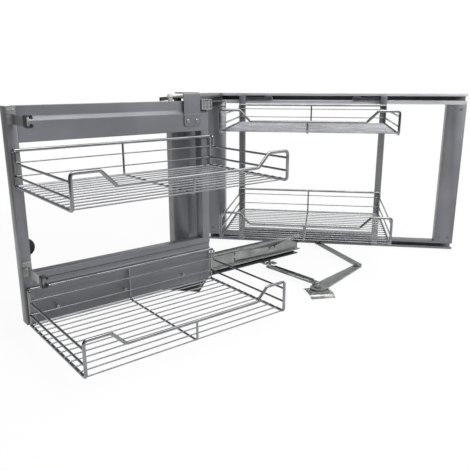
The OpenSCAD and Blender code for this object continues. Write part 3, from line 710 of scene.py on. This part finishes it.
# catch of the damper under the bottom beam: a shoe with two runners and a hooked end
damper = {
    "left": -50.0, "right": 41.0, "level": 34.6, "front": -74.0, "back": -57.0, "thick": 2.6, "round": 3.0,
}
damperRunner = {
    "path": ((-49.0, 33.4), (-45.0, 32.0), (30.0, 32.0), (38.0, 34.0)),
    "y": (-73.0, -62.0), "wide": 4.5, "thick": 1.8, "bend": 3.0,
}


def buildDamper(shape):
    sole = [(damper["left"], damper["level"]), (damper["right"], damper["level"])]
    addStrip(
        shape, "XZ", sole, damper["front"], damper["back"], damper["thick"],
        startRound=damper["round"], endRound=damper["round"],
    )
    for y in damperRunner["y"]:
        addStrip(
            shape, "XZ", damperRunner["path"], y, y + damperRunner["wide"],
            damperRunner["thick"], damperRunner["bend"],
        )


addSheetPiece("damperShoe", buildDamper, "black_plastic", "front_unit", swing, ["damper_catch"], fineEdge)

# screws on the rear posts are coated with the frame
frameScrew = {"x": (-8.5, 22.5, 789.5, 820.5), "y": 489.0, "z": (42.0, 476.0), "radius": 4.8, "height": 1.9}


def buildFrameScrews(shape):
    for x in frameScrew["x"]:
        for z in frameScrew["z"]:
            spot = (x, frameScrew["y"], z)
            addScrew(shape, spot, toFront, frameScrew["radius"], frameScrew["height"])


addTurnedPiece("frameScrewHeads", buildFrameScrews, "grey_paint", "root", still, ["frame_screws"])

# pressed screws that hold the catch under the base rail
catchScrew = {
    "middle": (275.9, -66.0), "offsets": ((-12.0, 8.0), (0.0, 12.0), (12.0, 8.0)), "z": 28.0,
    "radius": 3.2, "height": 2.0,
}


def buildCatchScrews(shape):
    middleX, middleY = catchScrew["middle"]
    for x, y in catchScrew["offsets"]:
        spot = (middleX + x, middleY + y, catchScrew["z"])
        addScrew(shape, spot, upward, catchScrew["radius"], catchScrew["height"])


addTurnedPiece("catchScrewHeads", buildCatchScrews, "nylon", "swing_unit", swing, ["catch_screws"])

# rivets of the crank's two joints, each with its head on top
crankRivet = {
    "spots": ((502.66, 220.03, 0.0), (379.49, 37.6, 0.0)),
    "profile": (
        (0.0, 13.0), (5.0, 13.0), (5.0, 17.6), (8.0, 17.6),
        (8.0, 18.4), (7.0, 19.2), (4.6, 19.6), (0.0, 19.6),
    ),
}
# screws of the crank's foot plate, which lies turned by lean
footScrew = {
    "middle": (387.0, -4.0), "lean": 20.0, "x": (-24.0, 24.0), "y": (-18.0, 18.0), "z": 8.0,
    "radius": 4.6, "height": 0.9,
}


def buildRivets(shape):
    for spot in crankRivet["spots"]:
        addLathe(shape, crankRivet["profile"], spot, upward)


def buildFootScrews(shape):
    lean = math.radians(footScrew["lean"])
    middleX, middleY = footScrew["middle"]
    for x in footScrew["x"]:
        for y in footScrew["y"]:
            spotX = middleX + x * math.cos(lean) - y * math.sin(lean)
            spotY = middleY + x * math.sin(lean) + y * math.cos(lean)
            spot = (spotX, spotY, footScrew["z"])
            addScrew(shape, spot, upward, footScrew["radius"], footScrew["height"])


addTurnedPiece("crankRivetHeads", buildRivets, "zinc_steel", "crank", still, ["crank_rivets"])
addTurnedPiece("footPlateScrews", buildFootScrews, "zinc_steel", "root", still)
print("folded and turned pieces made")


# studio

pureWhite = (1, 1, 1, 1)
floor = {
    "half": 2.2,
    "drop": 0.0005,
    "colour": "f4f4f4",
    "rough": 0.9,
    "fade": (0.7, 1.8),  # metres from the middle
    "white": (0.92, 1.0),
}
half = floor["half"]
floorMesh = bpy.data.meshes.new("floor")
floorMesh.from_pydata(
    [(-half, -half, 0), (half, -half, 0), (half, half, 0), (-half, half, 0)], [], [(0, 1, 2, 3)],
)
floorPiece = bpy.data.objects.new("floor", floorMesh)
scene.collection.objects.link(floorPiece)
floorPiece.location = (0, 0, -floor["drop"])

# pale paper roll: white where it is seen, with the shadow left on it
paper = bpy.data.materials.new("palePaper")
paper.use_nodes = True
tree = paper.node_tree
shader = tree.nodes["Principled BSDF"]
shader.inputs["Base Color"].default_value = linear(floor["colour"])
shader.inputs["Roughness"].default_value = floor["rough"]
glow = addNode(tree, "ShaderNodeEmission", Color=pureWhite, Strength=1.0)
light = addNode(tree, "ShaderNodeLightPath")
seen = addNode(
    tree, "ShaderNodeMath", {"operation": "MAXIMUM"},
    i0=light.outputs["Is Camera Ray"], i1=light.outputs["Is Glossy Ray"],
)
# the roll fades to plain white away from the shadow
spot = addNode(tree, "ShaderNodeTexCoord").outputs["Object"]
away = addNode(tree, "ShaderNodeVectorMath", {"operation": "LENGTH"}, i0=spot)
fade = addNode(
    tree, "ShaderNodeMapRange", Value=away.outputs["Value"],
    i1=floor["fade"][0], i2=floor["fade"][1], i3=floor["white"][0], i4=floor["white"][1],
)
share = addNode(
    tree, "ShaderNodeMath", {"operation": "MULTIPLY"}, i0=seen.outputs[0], i1=fade.outputs[0],
)
mixed = addNode(
    tree, "ShaderNodeMixShader", i0=share.outputs[0], i1=shader.outputs[0], i2=glow.outputs[0],
)
tree.links.new(mixed.outputs[0], tree.nodes["Material Output"].inputs["Surface"])
floorMesh.materials.append(paper)

# metal sees the room dimmer above, behind the camera and far to the left, so that it has something to show:
# along each axis of a ray, from where to where its white goes from one strength to the other
room = {
    "sky": 0.26,
    "shades": {"Z": (0.12, 0.5, 1.0, 0.22), "Y": (-0.5, 0.3, 0.18, 1.0), "X": (-0.95, -0.5, 0.3, 1.0)},
}
world = bpy.data.worlds.new("studio")
scene.world = world
world.use_nodes = True
tree = world.node_tree
ambient = tree.nodes["Background"]
ambient.inputs["Color"].default_value = pureWhite
ambient.inputs["Strength"].default_value = room["sky"]
backdrop = addNode(tree, "ShaderNodeBackground", Color=pureWhite, Strength=1.0)
look = addNode(tree, "ShaderNodeTexCoord").outputs["Generated"]
axes = addNode(tree, "ShaderNodeSeparateXYZ", Vector=look)
dim = 1.0
for axis, (start, end, first, last) in room["shades"].items():
    shade = addNode(
        tree, "ShaderNodeMapRange", {"interpolation_type": "SMOOTHSTEP"},
        Value=axes.outputs[axis], i1=start, i2=end, i3=first, i4=last,
    )
    dim = addNode(tree, "ShaderNodeMath", {"operation": "MULTIPLY"}, i0=dim, i1=shade.outputs[0]).outputs[0]
walls = addNode(tree, "ShaderNodeBackground", Color=pureWhite, Strength=dim)
light = addNode(tree, "ShaderNodeLightPath")
byGloss = addNode(
    tree, "ShaderNodeMixShader",
    i0=light.outputs["Is Glossy Ray"], i1=ambient.outputs[0], i2=walls.outputs[0],
)
clear = addNode(
    tree, "ShaderNodeMath", {"operation": "MAXIMUM"},
    i0=light.outputs["Is Camera Ray"], i1=light.outputs["Is Transmission Ray"],
)
byCamera = addNode(
    tree, "ShaderNodeMixShader", i0=clear.outputs[0], i1=byGloss.outputs[0], i2=backdrop.outputs[0],
)
tree.links.new(byCamera.outputs[0], tree.nodes["World Output"].inputs["Surface"])


def addSoftbox(name, place, target, size, power):
    lamp = bpy.data.lights.new(name, "AREA")
    lamp.shape = "RECTANGLE"
    lamp.size, lamp.size_y = size
    lamp.energy = power
    box = bpy.data.objects.new(name, lamp)
    scene.collection.objects.link(box)
    box.location = place
    box.rotation_euler = (Vector(target) - Vector(place)).to_track_quat("-Z", "Y").to_euler()
    return box


# place, target, size and power
keyBox = ((2.6, -1.7, 1.9), (0.2, 0.1, 0.25), (1.6, 1.2))
lamps = {
    "keyLight": (*keyBox, 24.0),
    "keyGlint": (*keyBox, 40.0),
    "fillLight": ((0.35, -1.3, 2.3), (0.35, 0.3, 0.3), (2.6, 1.4), 16.0),
    "topLight": ((1.5, 0.2, 2.4), (0.0, -0.1, 0.3), (2.4, 2.0), 38.0),
    "rearGlint": ((0.3, -0.5, 2.4), (0.3, 0.3, 0.2), (1.6, 1.0), 30.0),
    "backLight": ((0.5, 1.9, 2.3), (0.35, 0.3, 0.4), (2.2, 1.2), 8.0),
}
softboxes = {name: addSoftbox(name, *spec) for name, spec in lamps.items()}
# a part of the key's light gives no mirror image, so the wires don't turn white
softboxes["keyLight"].visible_glossy = False
# overhead strip that only shows as a mirror image in the rear baskets' wires
softboxes["rearGlint"].visible_diffuse = False

# fitted to the straight edges of the frames
view = {"place": (0.3829, -1.4483, 0.5652), "yaw": -0.158, "pitch": 0.272, "lens": 42.40, "sensor": 36.0}
camera = bpy.data.objects.new("camera", bpy.data.cameras.new("camera"))
scene.collection.objects.link(camera)
camera.data.lens = view["lens"]
camera.data.sensor_width = view["sensor"]
camera.location = view["place"]
toward = Vector((
    math.sin(view["yaw"]) * math.cos(view["pitch"]),
    math.cos(view["yaw"]) * math.cos(view["pitch"]),
    -math.sin(view["pitch"]),
))
camera.rotation_euler = toward.to_track_quat("-Z", "Y").to_euler()
scene.camera = camera
print("studio set")
